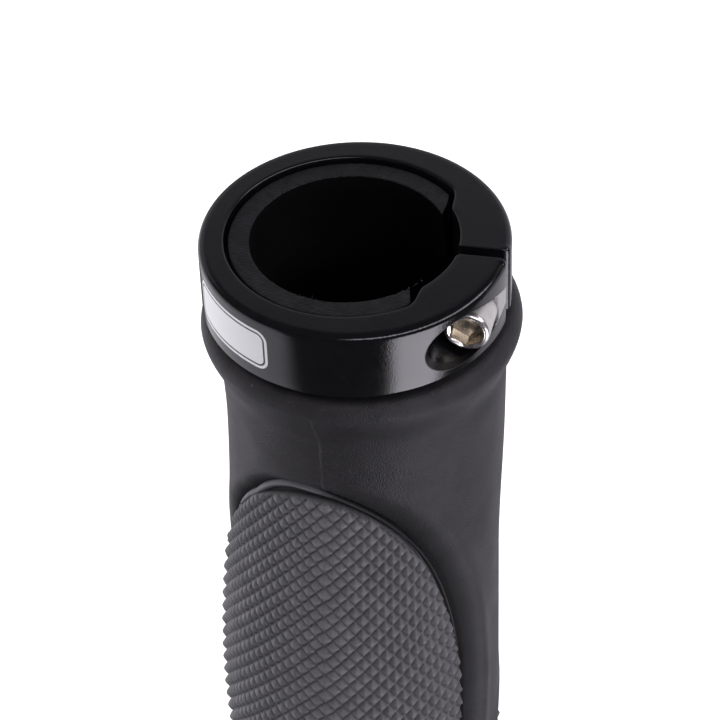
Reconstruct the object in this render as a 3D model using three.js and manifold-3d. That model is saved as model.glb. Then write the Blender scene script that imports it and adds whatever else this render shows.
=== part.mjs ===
// Bicycle handlebar grip: a rubber body with two knurled pads on a plastic core, held by a split collar.
// Millimetres. +Z runs along the grip, from the closed outer end at z = 0 up to the collar's top face.
// The collar's split faces +X, so its screw lies along Y with the head towards -Y.
import * as THREE from "three";
import { mergeVertices } from "three/addons/utils/BufferGeometryUtils.js";
import Module from "manifold-3d";

const wasm = await Module();
wasm.setup();

// Driving dimensions

const GRIP_LENGTH = 130;
const BAR_RADIUS = 11.1;
const BAR_PLAY = 0.05;
const FIT = 0.3; // clear space between two pieces that meet

const CORE_WALL = 2.35;
const CORE_RECESS = 0.6; // the core's end lies this far below the collar's top face
const CORE_END_PLAY = 4; // degrees between a jaw's step and the core's cut end

const COLLAR_WIDTH = 8.7;
const COLLAR_WALL = 3.25;
const COLLAR_EDGE = 0.6;
const RELIEF_SHIFT = 0.25; // the relief's centre lies off the collar's, away from the split
const SPLIT_GAP = 1.5;
const SPLIT_CORNER = 0.9;
const JAW_PLAY = 0.5;
const JAW_ANGLE = 36;
const STEP_ANGLE = 52;
const STEP_ROUND = 1.3;

const SCREW_RADIUS = 1.5;
const SCREW_LENGTH = 12;
const SCREW_SEAT = 2.7; // from the split's middle to the face that the head bears on
const SCREW_BACKED_OFF = 2.6; // the screw is loose, and its head stands this far off its seat
const HEAD_RADIUS = 2.7;
const HEAD_HEIGHT = 3;
const HEAD_CHAMFER = 0.25;
const SOCKET_FLATS = 2.5;
const SOCKET_DEPTH = 1.5;

const RUBBER_WALL = 2.3;
const END_THICKNESS = 3.7;
const END_ROUND = 3;
const FLANGE_RISE = 1.9;
const FLANGE_LENGTH = 2.3;
const FLANGE_FLARE = 4.8;
const FLANGE_ROUND = 1.2;

const RECESS_FLOOR = 0.9; // rubber left between a pad's recess and the core
const RECESS_SLOPE = 1.8;
const KNURL_WIDTH = 1.9; // one pyramid, around the grip
const KNURL_LENGTH = 2.5; // one pyramid, along the grip
const KNURL_HEIGHT = 0.6;

const OVAL_POWER = 2.3; // 2 is an ellipse, and more is squarer
// Both pads swell by their crown, most at the crown's shift along the grip from the pad's middle.
const PALM_PAD = { angle: -97, top: 24.9, halfWidth: 17, halfLength: 36.8, rim: -0.4, crown: 1.8, shift: -8 };
const FINGER_PAD = { angle: 52, top: 67.5, halfWidth: 17, halfLength: 27, rim: -0.6, crown: 1, shift: -4 };

const FACETS = 60; // flats around a full turn

// Sizes worked out from the driving dimensions

const BORE_RADIUS = BAR_RADIUS + BAR_PLAY;
const CORE_RADIUS = BORE_RADIUS + CORE_WALL;
const RELIEF_RADIUS = CORE_RADIUS + FIT + RELIEF_SHIFT * 0.8;
const COLLAR_RADIUS = RELIEF_RADIUS + COLLAR_WALL;
const COLLAR_BOTTOM = GRIP_LENGTH - COLLAR_WIDTH;
const JAW_RADIUS = BORE_RADIUS + JAW_PLAY;

const SCREW_OFFSET = (JAW_RADIUS + COLLAR_RADIUS) / 2;
const SCREW_LEVEL = GRIP_LENGTH - COLLAR_WIDTH / 2;
const POCKET_RADIUS = HEAD_RADIUS + FIT;

const RUBBER_BORE = CORE_RADIUS + FIT;
const BODY_RADIUS = RUBBER_BORE + RUBBER_WALL;
const BODY_TOP = COLLAR_BOTTOM - FIT;
const FLANGE_RADIUS = BODY_RADIUS + FLANGE_RISE;
const RECESS_RADIUS = RUBBER_BORE + RECESS_FLOOR;
const PAD_RADIUS = RECESS_RADIUS + FIT;

const CORE_BOTTOM = END_THICKNESS + FIT;
const CORE_TOP = GRIP_LENGTH - CORE_RECESS;

// Helpers

const radians = THREE.MathUtils.degToRad;
const smooth = (t) => t * t * (3 - 2 * t);

function onArc(x, y, radius, degrees) {
  return new THREE.Vector2(x + radius * Math.cos(radians(degrees)), y + radius * Math.sin(radians(degrees)));
}

function arc(x, y, radius, from, to) {
  const steps = Math.max(2, Math.ceil((Math.abs(to - from) * FACETS) / 360));
  return Array.from({ length: steps + 1 }, (_, i) => onArc(x, y, radius, from + ((to - from) * i) / steps));
}

function toSolid(geometry) {
  const bare = geometry.clone();
  bare.deleteAttribute("normal");
  bare.deleteAttribute("uv");
  const merged = mergeVertices(bare, 1e-4);
  return new wasm.Manifold(
    new wasm.Mesh({
      numProp: 3,
      vertProperties: new Float32Array(merged.attributes.position.array),
      triVerts: new Uint32Array(merged.index.array),
    }),
  );
}

function toGeometry(solid) {
  const mesh = solid.getMesh();
  const geometry = new THREE.BufferGeometry();
  geometry.setAttribute("position", new THREE.BufferAttribute(mesh.vertProperties, 3));
  geometry.setIndex(new THREE.BufferAttribute(mesh.triVerts, 1));
  geometry.computeVertexNormals();
  return geometry;
}

// A solid turned about Z. The profile holds radius and height, and is closed by its last point.
function turned(profile, segments = FACETS) {
  const points = profile.map((p) => (p.isVector2 ? p : new THREE.Vector2(...p)));
  return toSolid(new THREE.LatheGeometry(points, segments).rotateX(Math.PI / 2));
}

// A round bar along Y, from one y to another, centred on the screw's axis.
function barAlongY(radius, from, to, segments = 32) {
  const bar = new THREE.CylinderGeometry(radius, radius, to - from, segments);
  return toSolid(bar.translate(SCREW_OFFSET, (from + to) / 2, SCREW_LEVEL));
}

// Collar

function splitSide(side) {
  const half = SPLIT_GAP / 2;
  const tip = Math.sqrt(COLLAR_RADIUS ** 2 - half ** 2);
  const turnIn = THREE.MathUtils.radToDeg(Math.asin((half + SPLIT_CORNER) / COLLAR_RADIUS));
  const corner = new THREE.QuadraticBezierCurve(
    new THREE.Vector2(tip - SPLIT_CORNER, side * half),
    new THREE.Vector2(tip, side * half),
    onArc(0, 0, COLLAR_RADIUS, side * turnIn),
  );
  return { turnIn, points: corner.getPoints(4) };
}

function jawStep(side) {
  const start = onArc(0, 0, JAW_RADIUS, side * JAW_ANGLE);
  const end = onArc(-RELIEF_SHIFT, 0, RELIEF_RADIUS, side * STEP_ANGLE);
  const leaving = onArc(0, 0, STEP_ROUND, side * (JAW_ANGLE + 90));
  const arriving = onArc(0, 0, STEP_ROUND, side * (STEP_ANGLE + 90));
  const step = new THREE.CubicBezierCurve(start, start.clone().add(leaving), end.clone().sub(arriving), end);
  return step.getPoints(8).slice(1, -1);
}

function collarOutline() {
  const upper = splitSide(1);
  const lower = splitSide(-1);
  const split = THREE.MathUtils.radToDeg(Math.asin(SPLIT_GAP / 2 / JAW_RADIUS));
  return new THREE.Shape([
    ...upper.points.slice(0, -1),
    ...arc(0, 0, COLLAR_RADIUS, upper.turnIn, 360 - lower.turnIn),
    ...lower.points.slice(0, -1).reverse(),
    ...arc(0, 0, JAW_RADIUS, -split, -JAW_ANGLE),
    ...jawStep(-1),
    ...arc(-RELIEF_SHIFT, 0, RELIEF_RADIUS, -STEP_ANGLE, STEP_ANGLE - 360),
    ...jawStep(1).reverse(),
    ...arc(0, 0, JAW_RADIUS, JAW_ANGLE, split),
  ]);
}

function collarGeometry() {
  const ring = new THREE.ExtrudeGeometry(collarOutline(), {
    depth: COLLAR_WIDTH - 2 * COLLAR_EDGE,
    bevelThickness: COLLAR_EDGE,
    bevelSize: COLLAR_EDGE,
    bevelOffset: -COLLAR_EDGE,
    bevelSegments: 2,
  }).translate(0, 0, COLLAR_BOTTOM + COLLAR_EDGE);
  const pocket = barAlongY(POCKET_RADIUS, -2 * COLLAR_RADIUS, -SCREW_SEAT, 40);
  const hole = barAlongY(SCREW_RADIUS + FIT, -SCREW_SEAT - 1, COLLAR_RADIUS, 24);
  return toGeometry(toSolid(ring).subtract(pocket).subtract(hole));
}

// Screw, with its head's seat at y = 0 and its tip towards +Y before it is placed

function screwGeometry() {
  const headProfile = [
    [0, -HEAD_HEIGHT],
    [HEAD_RADIUS - HEAD_CHAMFER, -HEAD_HEIGHT],
    [HEAD_RADIUS, -HEAD_HEIGHT + HEAD_CHAMFER],
    [HEAD_RADIUS, 0],
    [SCREW_RADIUS, 0],
    [SCREW_RADIUS, SCREW_LENGTH - HEAD_CHAMFER],
    [SCREW_RADIUS - HEAD_CHAMFER, SCREW_LENGTH],
    [0, SCREW_LENGTH],
  ].map(([radius, along]) => new THREE.Vector2(radius, along));
  const blank = toSolid(new THREE.LatheGeometry(headProfile, 32));
  const socketRadius = SOCKET_FLATS / Math.sqrt(3);
  const socket = new THREE.CylinderGeometry(socketRadius, socketRadius, SOCKET_DEPTH * 2, 6);
  return toGeometry(blank.subtract(toSolid(socket.translate(0, -HEAD_HEIGHT, 0))));
}

// Core

function coreGeometry() {
  const tube = turned([
    [BORE_RADIUS, CORE_BOTTOM],
    [CORE_RADIUS, CORE_BOTTOM],
    [CORE_RADIUS, CORE_TOP],
    [BORE_RADIUS, CORE_TOP],
    [BORE_RADIUS, CORE_BOTTOM],
  ]);
  const cutEnd = (side) => [
    onArc(0, 0, BORE_RADIUS, side * (JAW_ANGLE + CORE_END_PLAY)),
    onArc(0, 0, CORE_RADIUS, side * (STEP_ANGLE + CORE_END_PLAY)),
    onArc(0, 0, 2 * CORE_RADIUS, side * (STEP_ANGLE + CORE_END_PLAY)),
  ];
  const wedge = new THREE.Shape([new THREE.Vector2(0, 0), ...cutEnd(-1), ...cutEnd(1).reverse()]);
  const slot = new THREE.ExtrudeGeometry(wedge, { depth: COLLAR_WIDTH + FIT, bevelEnabled: false });
  return toGeometry(tube.subtract(toSolid(slot.translate(0, 0, BODY_TOP))));
}

// Pads and the recesses that they lie in

const acrossAngle = (across) => across / BODY_RADIUS;
const squared = (part) => Math.sign(part) * Math.abs(part) ** (2 / OVAL_POWER);

function onGrip(pad, across, along, radius) {
  const angle = radians(pad.angle) + acrossAngle(across);
  const height = GRIP_LENGTH - pad.top - pad.halfLength + along;
  return [radius * Math.cos(angle), radius * Math.sin(angle), height];
}

// An oval plug cut radially through the grip, wider by one margin at its foot and another at its head.
function ovalPlug(pad, foot, head, rings, spokes) {
  const points = [];
  const faces = [];
  const ringPoint = (ring, spoke, layer) => {
    const angle = (2 * Math.PI * spoke) / spokes;
    const across = (pad.halfWidth + layer.margin) * (ring / rings) * squared(Math.cos(angle));
    const along = (pad.halfLength + layer.margin) * (ring / rings) * squared(Math.sin(angle));
    return onGrip(pad, across, along, layer.radius);
  };
  const index = (layer, ring, spoke) =>
    layer * (rings * spokes + 1) + (ring ? 1 + (ring - 1) * spokes + (spoke % spokes) : 0);
  for (const layer of [foot, head]) {
    points.push(onGrip(pad, 0, 0, layer.radius));
    for (let ring = 1; ring <= rings; ring += 1) {
      for (let spoke = 0; spoke < spokes; spoke += 1) points.push(ringPoint(ring, spoke, layer));
    }
  }
  const face = (layer, a, b, c) => faces.push(...(layer ? [a, b, c] : [a, c, b]));
  for (let spoke = 0; spoke < spokes; spoke += 1) {
    for (const layer of [0, 1]) {
      face(layer, index(layer, 0, 0), index(layer, 1, spoke), index(layer, 1, spoke + 1));
      for (let ring = 1; ring < rings; ring += 1) {
        const near = [index(layer, ring, spoke), index(layer, ring, spoke + 1)];
        const far = [index(layer, ring + 1, spoke), index(layer, ring + 1, spoke + 1)];
        face(layer, near[0], far[0], far[1]);
        face(layer, near[0], far[1], near[1]);
      }
    }
    const low = [index(0, rings, spoke), index(0, rings, spoke + 1)];
    const high = [index(1, rings, spoke), index(1, rings, spoke + 1)];
    faces.push(low[0], low[1], high[1], low[0], high[1], high[0]);
  }
  return solidFromFaces(points, faces);
}

function solidFromFaces(points, faces) {
  return new wasm.Manifold(
    new wasm.Mesh({
      numProp: 3,
      vertProperties: new Float32Array(points.flat()),
      triVerts: new Uint32Array(faces),
    }),
  );
}

// A sheet of pyramids that covers the pad's oval. Even grid points are valleys and odd ones are tips.
function knurledSheet(pad) {
  const stepAcross = KNURL_WIDTH / 2;
  const stepAlong = KNURL_LENGTH / 2;
  const columns = 2 * Math.ceil(pad.halfWidth / stepAcross + 2);
  const rows = 2 * Math.ceil(pad.halfLength / stepAlong + 2);
  const points = [];
  const faces = [];
  const rimRadius = BODY_RADIUS + pad.rim;
  const topRadius = (column, row) => {
    if (column === 0 || row === 0 || column === columns || row === rows) return rimRadius;
    const along = ((row - rows / 2) * stepAlong - pad.shift) / pad.halfLength;
    const valley = rimRadius + pad.crown * Math.max(0, 1 - along * along) ** 2;
    return (column + row) % 2 ? valley + KNURL_HEIGHT : valley;
  };
  const place = (column, row, radius) =>
    onGrip(pad, (column - columns / 2) * stepAcross, (row - rows / 2) * stepAlong, radius);
  const top = (column, row) => column * (rows + 1) + row;
  for (let column = 0; column <= columns; column += 1) {
    for (let row = 0; row <= rows; row += 1) points.push(place(column, row, topRadius(column, row)));
  }
  const base = points.length;
  const bottom = (column, end) => base + 2 * column + end;
  for (let column = 0; column <= columns; column += 1) {
    points.push(place(column, 0, PAD_RADIUS), place(column, rows, PAD_RADIUS));
  }
  const quad = (a, b, c, d) => faces.push(a, b, c, a, c, d);
  for (let column = 0; column < columns; column += 1) {
    for (let row = 0; row < rows; row += 1) {
      const corners = [top(column, row), top(column + 1, row), top(column + 1, row + 1), top(column, row + 1)];
      if ((column + row) % 2) corners.push(corners.shift());
      quad(...corners);
    }
    quad(bottom(column, 0), bottom(column, 1), bottom(column + 1, 1), bottom(column + 1, 0));
    quad(top(column, 0), bottom(column, 0), bottom(column + 1, 0), top(column + 1, 0));
    quad(top(column, rows), top(column + 1, rows), bottom(column + 1, 1), bottom(column, 1));
  }
  for (let row = 0; row < rows; row += 1) {
    faces.push(bottom(0, 0), top(0, row), top(0, row + 1));
    faces.push(bottom(columns, 0), top(columns, row + 1), top(columns, row));
  }
  faces.push(bottom(0, 0), top(0, rows), bottom(0, 1));
  faces.push(bottom(columns, 0), bottom(columns, 1), top(columns, rows));
  return solidFromFaces(points, faces);
}

function padGeometry(pad) {
  const foot = { radius: PAD_RADIUS - 1, margin: 0 };
  const head = { radius: 2 * BODY_RADIUS, margin: 0 };
  return toGeometry(knurledSheet(pad).intersect(ovalPlug(pad, foot, head, 6, 64)));
}

function recess(pad) {
  const foot = { radius: RECESS_RADIUS, margin: FIT };
  const rise = RUBBER_WALL - RECESS_FLOOR;
  const head = { radius: BODY_RADIUS + rise, margin: FIT + 2 * RECESS_SLOPE };
  return ovalPlug(pad, foot, head, 4, 40);
}

// Body

function bodyGeometry() {
  const flareTop = BODY_TOP - FLANGE_LENGTH;
  const flareBottom = flareTop - FLANGE_FLARE;
  const flare = Array.from({ length: 7 }, (_, i) => [
    BODY_RADIUS + FLANGE_RISE * smooth(i / 6),
    flareBottom + (FLANGE_FLARE * i) / 6,
  ]);
  const quarter = (radius, height, round, from, to) =>
    Array.from({ length: 5 }, (_, i) => onArc(radius, height, round, from + ((to - from) * i) / 4));
  const rubber = turned([
    [0, 0],
    ...quarter(BODY_RADIUS - END_ROUND, END_ROUND, END_ROUND, -90, 0),
    ...flare,
    ...quarter(FLANGE_RADIUS - FLANGE_ROUND, BODY_TOP - FLANGE_ROUND, FLANGE_ROUND, 0, 90),
    [RUBBER_BORE, BODY_TOP],
    [RUBBER_BORE, END_THICKNESS],
    [0, END_THICKNESS],
  ]);
  return toGeometry(rubber.subtract(recess(PALM_PAD)).subtract(recess(FINGER_PAD)));
}

// The finished grip

function piece(name, geometry, material) {
  const mesh = new THREE.Mesh(geometry, new THREE.MeshStandardMaterial({ ...material, flatShading: true }));
  mesh.name = name;
  return mesh;
}

const rubberBlack = { color: 0x3b3b3e, roughness: 0.8, metalness: 0 };
const rubberGrey = { color: 0x77777a, roughness: 0.75, metalness: 0 };
const plasticBlack = { color: 0x2a2a2b, roughness: 0.6, metalness: 0 };
const anodisedBlack = { color: 0x1b1b1e, roughness: 0.25, metalness: 0.8 };
const brightSteel = { color: 0xc9c6c0, roughness: 0.18, metalness: 1 };

const grip = new THREE.Group();
grip.add(
  piece("rubber_body", bodyGeometry(), rubberBlack),
  piece("palm_pad", padGeometry(PALM_PAD), rubberGrey),
  piece("finger_pad", padGeometry(FINGER_PAD), rubberGrey),
  piece("core_sleeve", coreGeometry(), plasticBlack),
  piece("clamp_collar", collarGeometry(), anodisedBlack),
);

const screw = piece("clamp_screw", screwGeometry(), brightSteel);
screw.position.set(SCREW_OFFSET, -SCREW_SEAT - SCREW_BACKED_OFF, SCREW_LEVEL);
grip.add(screw);

export default grip;
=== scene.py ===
"""A bicycle handlebar grip: a rubber body with two knurled pads on a plastic core, held by a split collar.

Lengths inside the shape functions are millimetres. They become metres when a mesh is made.
+Z runs along the grip, from its closed outer end at 0 up to the collar's top face.
The collar's split faces +X.
"""

import math

import bpy
import numpy as np
from mathutils import Matrix, Vector


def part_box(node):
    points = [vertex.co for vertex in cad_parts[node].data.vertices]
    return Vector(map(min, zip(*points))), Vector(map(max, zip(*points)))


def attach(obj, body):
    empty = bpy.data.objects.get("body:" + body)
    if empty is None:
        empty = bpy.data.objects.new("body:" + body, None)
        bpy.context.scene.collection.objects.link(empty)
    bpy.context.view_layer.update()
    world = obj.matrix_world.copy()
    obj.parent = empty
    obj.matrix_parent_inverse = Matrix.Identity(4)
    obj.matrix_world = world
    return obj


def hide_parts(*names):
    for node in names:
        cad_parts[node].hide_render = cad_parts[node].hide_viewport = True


bl_info = {
    "name": "Handlebar Grip Maker",
    "version": (1, 0, 0),
    "blender": (4, 5, 0),
    "location": "3D View > Sidebar > Grip",
    "description": "Builds a handlebar grip with knurled pads and a split clamp collar around its CAD frame",
    "category": "Add Mesh",
}

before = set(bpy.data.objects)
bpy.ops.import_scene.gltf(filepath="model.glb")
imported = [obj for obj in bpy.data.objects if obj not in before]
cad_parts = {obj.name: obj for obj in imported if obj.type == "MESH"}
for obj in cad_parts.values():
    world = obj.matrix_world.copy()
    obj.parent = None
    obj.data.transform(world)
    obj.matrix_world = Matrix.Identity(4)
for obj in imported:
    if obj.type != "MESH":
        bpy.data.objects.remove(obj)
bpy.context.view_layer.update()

MM = 0.001


def node_box(node):
    """Lowest and highest corner of a CAD node, in millimetres."""
    low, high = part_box(node)
    return np.array(low) / MM, np.array(high) / MM


COLLAR_BOTTOM, GRIP_LENGTH = (corner[2] for corner in node_box("clamp_collar"))
CORE_BOTTOM, CORE_TOP = (corner[2] for corner in node_box("core_sleeve"))
BODY_TOP = node_box("rubber_body")[1][2]
SCREW_LOW, SCREW_HIGH = node_box("clamp_screw")
SCREW_TIP = SCREW_HIGH[1]

# The x and z of the screw's axis and of its pocket's axis, and the y of its head's face
SCREW_CENTRE = (SCREW_LOW + SCREW_HIGH)[[0, 2]] / 2 + [-0.25, -0.4]
POCKET_CENTRE = SCREW_CENTRE + [-0.1, 0.25]
HEAD_FACE = SCREW_LOW[1] - 0.1

# Sizes that a box can't give, in mm and degrees
BORE_RADIUS = 11.15
CORE_RADIUS = 13.5
CORE_END_BORE = 11.0
CORE_END_RADIUS = 13.35
CORE_END_CENTRE = (-0.75, 0.15)
CORE_BACK_ENDS = (33.0, 46.0)
CORE_FRONT_ENDS = (40.0, 47.0)
COLLAR_RADIUS = 17.32
RELIEF_RADIUS = 13.85
RELIEF_CENTRE = -0.62
JAW_RADIUS = 11.6
JAW_ANGLE = 35.0
STEP_ANGLE = 51.0
INNER_TURN = -1.5
JAW_CORNER = 0.6
SPLIT_HALF = 0.68
SPLIT_CORNER = 0.9
SCREW_SEAT = -3.8
POCKET_RADIUS = 3.25
HOLE_RADIUS = 1.8
HEAD_RADIUS = 2.58
HEAD_HEIGHT = 4.4
SOCKET_FLAT = 1.72
SHANK_RADIUS = 1.5
THREAD_PITCH = 0.5
RUBBER_BORE = 13.8
BODY_RADIUS = 16.1
END_THICKNESS = 3.7
RECESS_RADIUS = 14.7
PAD_FOOT = 14.85
SEAM_ANGLES = (-94.0, 86.0)
SEAM_WIDTH = 0.11
END_ROUND = 3.0
FLANGE_EDGE = (1.5, 2.2)
LEAN_ANGLE = math.radians(15)

# The rubber's lean: each smooth step, and the heights between which it happens
LEAN_STEPS = ((-0.20, 5, 60), (0.75, 82, 108), (-0.15, 108, 121))


# Settings that a user may change


def length(name, description, millimetres):
    return bpy.props.FloatProperty(
        name=name, description=description, default=millimetres * MM, unit="LENGTH", precision=5
    )


def colour(name, description, value):
    return bpy.props.FloatVectorProperty(
        name=name, description=description, default=value, subtype="COLOR", size=3, min=0.0, max=1.0
    )


OUTLINE_PARTS = (
    ("centre", "Middle of the outline, around the grip from the pad's angle"),
    ("left", "Reach to the left of its middle"),
    ("right", "Reach to the right of its middle"),
    ("middle", "Height of its widest place over the grip's closed end"),
    ("above", "Reach above its widest place"),
    ("below", "Reach below its widest place"),
)


def pad_settings(angle, rise, crown, crown_place, crown_reach, side, slope, rim, knurl):
    """The settings of one pad. Both pads have the same ones, with their own defaults. rim and knurl are
    outlines: six lengths in mm, and a power that makes an ellipse at 2 and a squarer oval above it."""
    made = {
        "angle": bpy.props.FloatProperty(
            name="Angle",
            description="Where the pad's middle is, around the grip from the collar's split",
            default=math.radians(angle),
            subtype="ANGLE",
        ),
        "rise": length("Rise", "Height of the pad's ends over the body", rise),
        "crown": length("Crown", "How much the pad swells in its middle", crown),
        "crown_place": length("Crown place", "Height of the pad's fullest place", crown_place),
        "crown_reach": length("Crown reach", "From the fullest place to the swelling's end", crown_reach),
        "side": length("Side", "How much further the pad's left side stands out", side),
        "slope": length("Slope", "Width of the slope down to the pad's recess", slope),
    }
    for kind, values in (("rim", rim), ("knurl", knurl)):
        for (part, description), value in zip(OUTLINE_PARTS, values):
            label = kind.capitalize() + " " + part
            made[kind + "_" + part] = length(label, description, value)
        made[kind + "_power"] = bpy.props.FloatProperty(
            name=kind.capitalize() + " power", description="Squareness of the outline", default=values[-1]
        )
    return made


# Each outline: the lengths of OUTLINE_PARTS, and the power
PALM_RIM = (-1.7, 15.4, 20.2, 68.2, 36.5, 37.6, 2.02)
PALM_KNURL = (-0.11, 19.0, 17.0, 72.8, 30.75, 40.9, 2.0)
FINGER_RIM = (0, 14, 17, 35.5, 25.2, 27.2, 2.1)
FINGER_KNURL = (0, 12.6, 16, 35.5, 22.2, 26.0, 2.0)


class PalmPadSettings(bpy.types.PropertyGroup):
    """The long pad under the palm."""

    __annotations__ = pad_settings(-97, -0.4, 1.8, 60.3, 36.8, 0.5, 1.2, PALM_RIM, PALM_KNURL)


class FingerPadSettings(bpy.types.PropertyGroup):
    """The short pad under the fingers."""

    __annotations__ = pad_settings(52, -0.6, 1.0, 31.5, 27, 0, 2.4, FINGER_RIM, FINGER_KNURL)


class GripSettings(bpy.types.PropertyGroup):
    """Sizes and colours of the whole grip."""

    knurl_width: length("Knurl width", "One pyramid of the knurl, around the grip", 1.75)
    knurl_length: length("Knurl length", "One pyramid of the knurl, along the grip", 2.3)
    knurl_height: length("Knurl height", "From the knurl's grooves to its tips", 0.54)
    lip_height: length("Lip height", "How far the rubber rises around a pad's recess", 0.12)
    seam_height: length("Seam height", "The moulding seam's height over the rubber", 0.07)
    flange_rise: length("Flange rise", "How far the flange stands out from the body", 2.05)
    collar_edge: length("Collar edge", "Radius of the collar's rounded outer edges", 0.80)
    collar_inner_edge: length("Collar inner edge", "Radius of the collar's rounded inner edges", 0.25)
    burr_height: length("Burr height", "Length of the longest sliver on the core's sawn end", 0.9)
    body_colour: colour("Body rubber", "Colour of the black rubber", (0.0150, 0.0138, 0.0153))
    pad_colour: colour("Pad rubber", "Colour of the grey rubber", (0.104, 0.102, 0.108))
    core_colour: colour("Core plastic", "Colour of the plastic core", (0.0075, 0.0072, 0.0085))
    collar_colour: colour("Anodised black", "Colour of the collar", (0.003, 0.003, 0.0037))
    bare_colour: colour("Bare aluminium", "Colour of the machined metal in the pocket", (0.60, 0.59, 0.59))
    steel_colour: colour("Screw steel", "Colour of the screw", (0.80, 0.78, 0.75))
    mark_colour: colour("Printed mark", "Colour of the plain printed patch on the collar", (0.70, 0.70, 0.72))
    floor_colour: colour("Floor", "Colour of the floor", (0.90, 0.90, 0.90))


def mm(value):
    return value / MM


# Meshes


def facing_out(points, faces):
    """Turns every face round if the closed surface has a negative volume. The volume is a sixth of the sum,
    over triangles, of the dot product of a corner with the cross product of the others."""
    volume = 0.0
    for group in faces:
        for k in range(1, group.shape[1] - 1):
            a, b, c = points[group[:, 0]], points[group[:, k]], points[group[:, k + 1]]
            volume += np.einsum("ij,ij->", a, np.cross(b, c))
    return [group[:, ::-1] if volume < 0 else group for group in faces]


def joined(shells):
    """Puts several closed surfaces, each its points and face groups, into one list of points and faces."""
    points = []
    faces = []
    start = 0
    for shell_points, shell_faces in shells:
        faces += [group + start for group in facing_out(shell_points, shell_faces)]
        points.append(shell_points)
        start += len(shell_points)
    return np.concatenate(points), faces


def make_mesh(name, points, faces, crease=None):
    """A smooth shaded mesh of points in millimetres, sharp where it bends by more than crease degrees."""
    corners = np.concatenate([group.ravel() for group in faces]).astype(np.int32)
    sizes = np.concatenate([np.full(len(group), group.shape[1], np.int32) for group in faces])
    starts = (np.cumsum(sizes) - sizes).astype(np.int32)
    mesh = bpy.data.meshes.new(name)
    mesh.vertices.add(len(points))
    mesh.vertices.foreach_set("co", (points * MM).astype(np.float32).ravel())
    mesh.loops.add(len(corners))
    mesh.loops.foreach_set("vertex_index", corners)
    mesh.polygons.add(len(sizes))
    mesh.polygons.foreach_set("loop_start", starts)
    mesh.update(calc_edges=True)
    mesh.validate()
    mesh.shade_smooth()
    if crease is not None:
        mesh.set_sharp_from_angle(angle=math.radians(crease))
    return mesh


def make_piece(name, mesh, slot, node, *materials):
    """Adds a finished mesh as a piece that stands for a CAD node."""
    piece = bpy.data.objects.new(name, mesh)
    bpy.context.scene.collection.objects.link(piece)
    for material in materials:
        mesh.materials.append(material)
    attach(piece, "root")
    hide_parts(node)
    return piece


def add_attribute(mesh, name, values):
    attribute = mesh.attributes.new(name, "FLOAT", "POINT")
    attribute.data.foreach_set("value", values.astype(np.float32))


def grid_quads(rows, columns, around=True, closed=False):
    """Quads of a grid of points numbered row by row. around joins the last column to the first, closed the
    rows."""
    down = np.arange(rows if closed else rows - 1)
    across = np.arange(columns if around else columns - 1)
    row, column = np.meshgrid(down, across, indexing="ij")
    next_row, next_column = (row + 1) % rows, (column + 1) % columns
    quads = [row * columns + column, row * columns + next_column]
    quads += [next_row * columns + next_column, next_row * columns + column]
    return np.stack([q.ravel() for q in quads], axis=1)


def grid_corners(grid):
    """The four corners of each cell of a grid of values, in the order of a face."""
    return grid[:-1, :-1], grid[1:, :-1], grid[1:, 1:], grid[:-1, 1:]


def fan(ring, centre):
    """Triangles from each side of a closed ring of point numbers to one centre point."""
    return np.stack([ring, np.roll(ring, -1), np.full(len(ring), centre)], axis=1)


def smooth_step(low, high, value):
    """3t² - 2t³, where t goes from 0 at low to 1 at high and is held there."""
    t = np.clip((value - low) / (high - low), 0, 1)
    return t * t * (3 - 2 * t)


def packed(low, high, count, places, spread, weight):
    """count + 1 numbers from low to high. Their density is 1 plus a bell of the given weight and spread at
    each place."""
    fine = np.linspace(low, high, 6001)
    density = 1 + sum(weight * np.exp(-(((fine - place) / spread) ** 2)) for place in places)
    total = np.concatenate([[0], np.cumsum((density[1:] + density[:-1]) / 2)])
    return np.interp(np.linspace(0, total[-1], count + 1), total, fine)


def waves(points, size, seed):
    """Smooth noise between about -1 and 1 at points in millimetres: a sum of sine waves whose directions
    and phases are drawn from the seed, with wavelengths around the given size."""
    draw = np.random.default_rng(seed)
    total = np.zeros(len(points))
    for _ in range(9):
        direction = draw.normal(size=3)
        direction *= 2 * math.pi / (size * draw.uniform(0.6, 1.6) * np.linalg.norm(direction))
        total += np.sin(points @ direction + draw.uniform(0, 2 * math.pi))
    return total / 3


# Pads


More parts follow.
